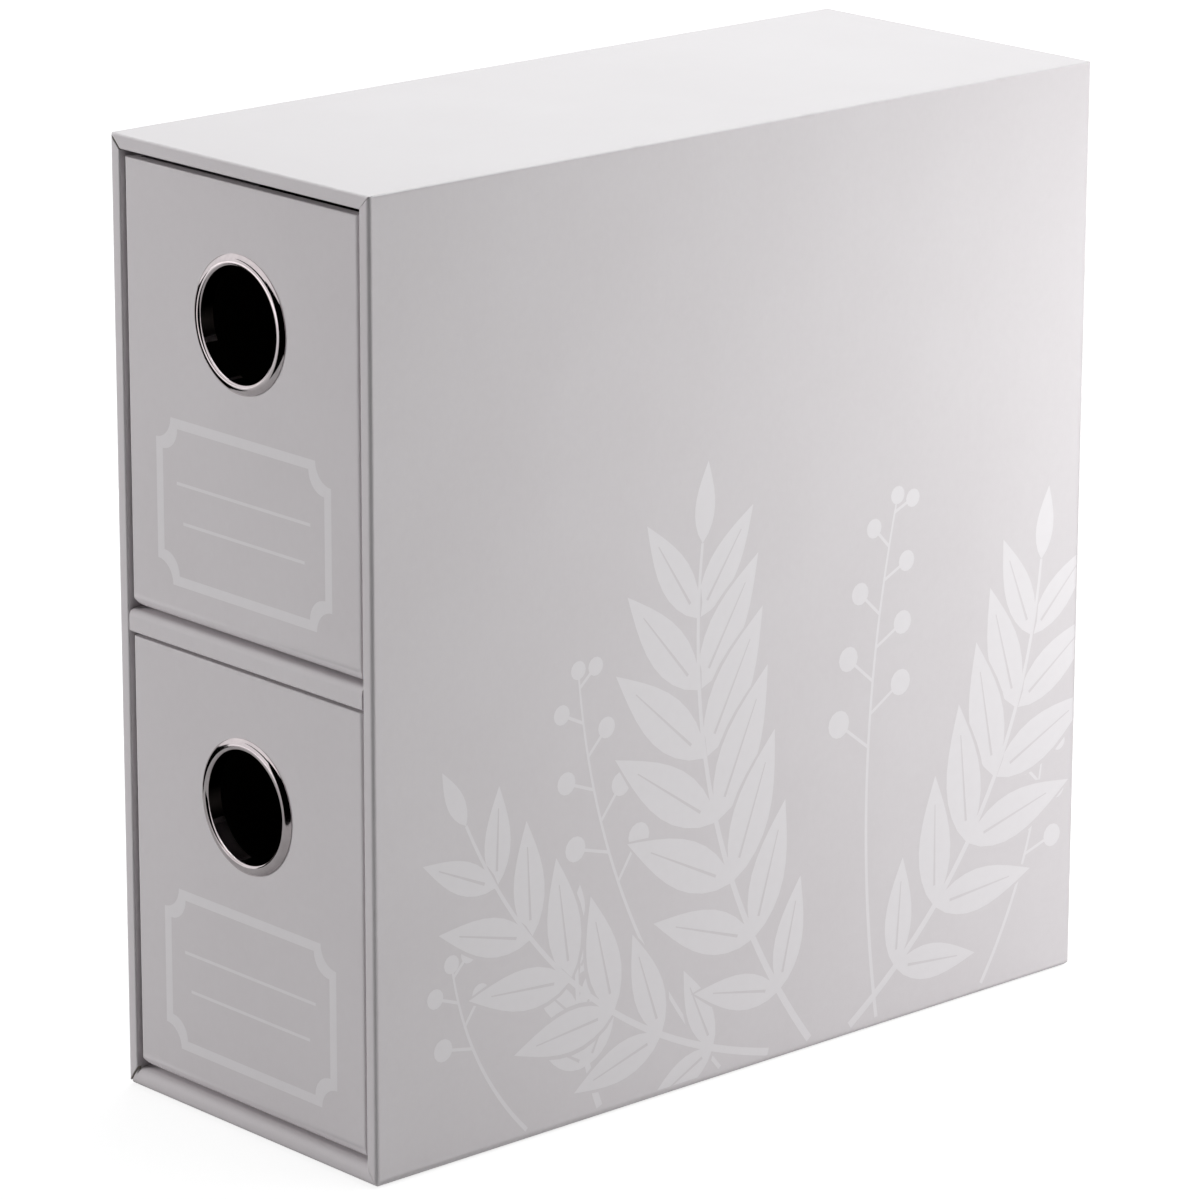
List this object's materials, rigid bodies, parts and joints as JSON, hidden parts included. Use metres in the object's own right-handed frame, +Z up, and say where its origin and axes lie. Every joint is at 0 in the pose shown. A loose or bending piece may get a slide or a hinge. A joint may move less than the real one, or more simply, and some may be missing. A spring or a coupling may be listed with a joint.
{
  "type": "card drawer box",
  "caption": "Tall wrapped-board box for collectable cards: an open-fronted case with a shelf and stacked slide-out drawers, each pulled by a metal finger ring.",
  "frame": {"origin": "middle of the case's underside, on the surface that the box stands on", "axes": "+Z up, +X to the right for someone facing the drawers, +Y towards the back, so the drawers pull out along -Y"},
  "size_m": [0.084, 0.2095, 0.212],
  "materials": {
    "grey_board": "bare pressed board",
    "case_paper": "satin coated paper",
    "case_lining_paper": "matt uncoated paper",
    "drawer_paper": "satin coated paper",
    "drawer_lining_paper": "matt uncoated paper",
    "ring_metal": "bright nickel plate"
  },
  "bodies": {
    "case": {"case_left_board": "grey_board", "case_right_board": "grey_board", "case_top_board": "grey_board", "case_base_board": "grey_board", "case_back_board": "grey_board", "shelf_board": "grey_board", "case_wrap": "case_paper", "case_base_wrap": "case_paper", "case_back_sheet": "case_paper", "shelf_wrap": "case_paper", "case_lining": "case_lining_paper"},
    "upper_drawer": {"upper_drawer_front_board": "grey_board", "upper_drawer_back_board": "grey_board", "upper_drawer_left_board": "grey_board", "upper_drawer_right_board": "grey_board", "upper_drawer_base_board": "grey_board", "upper_drawer_wrap": "drawer_paper", "upper_drawer_lining": "drawer_lining_paper", "upper_drawer_finger_ring": "ring_metal", "upper_drawer_ring_washer": "ring_metal"},
    "lower_drawer": {"lower_drawer_front_board": "grey_board", "lower_drawer_back_board": "grey_board", "lower_drawer_left_board": "grey_board", "lower_drawer_right_board": "grey_board", "lower_drawer_base_board": "grey_board", "lower_drawer_wrap": "drawer_paper", "lower_drawer_lining": "drawer_lining_paper", "lower_drawer_finger_ring": "ring_metal", "lower_drawer_ring_washer": "ring_metal"}
  },
  "joints": [
    {"name": "upper_drawer_slide", "type": "slide", "parent": "case", "child": "upper_drawer", "axis": [0, -1, 0], "range_m": [0, 0.206]},
    {"name": "lower_drawer_slide", "type": "slide", "parent": "case", "child": "lower_drawer", "axis": [0, -1, 0], "range_m": [0, 0.206]}
  ]
}
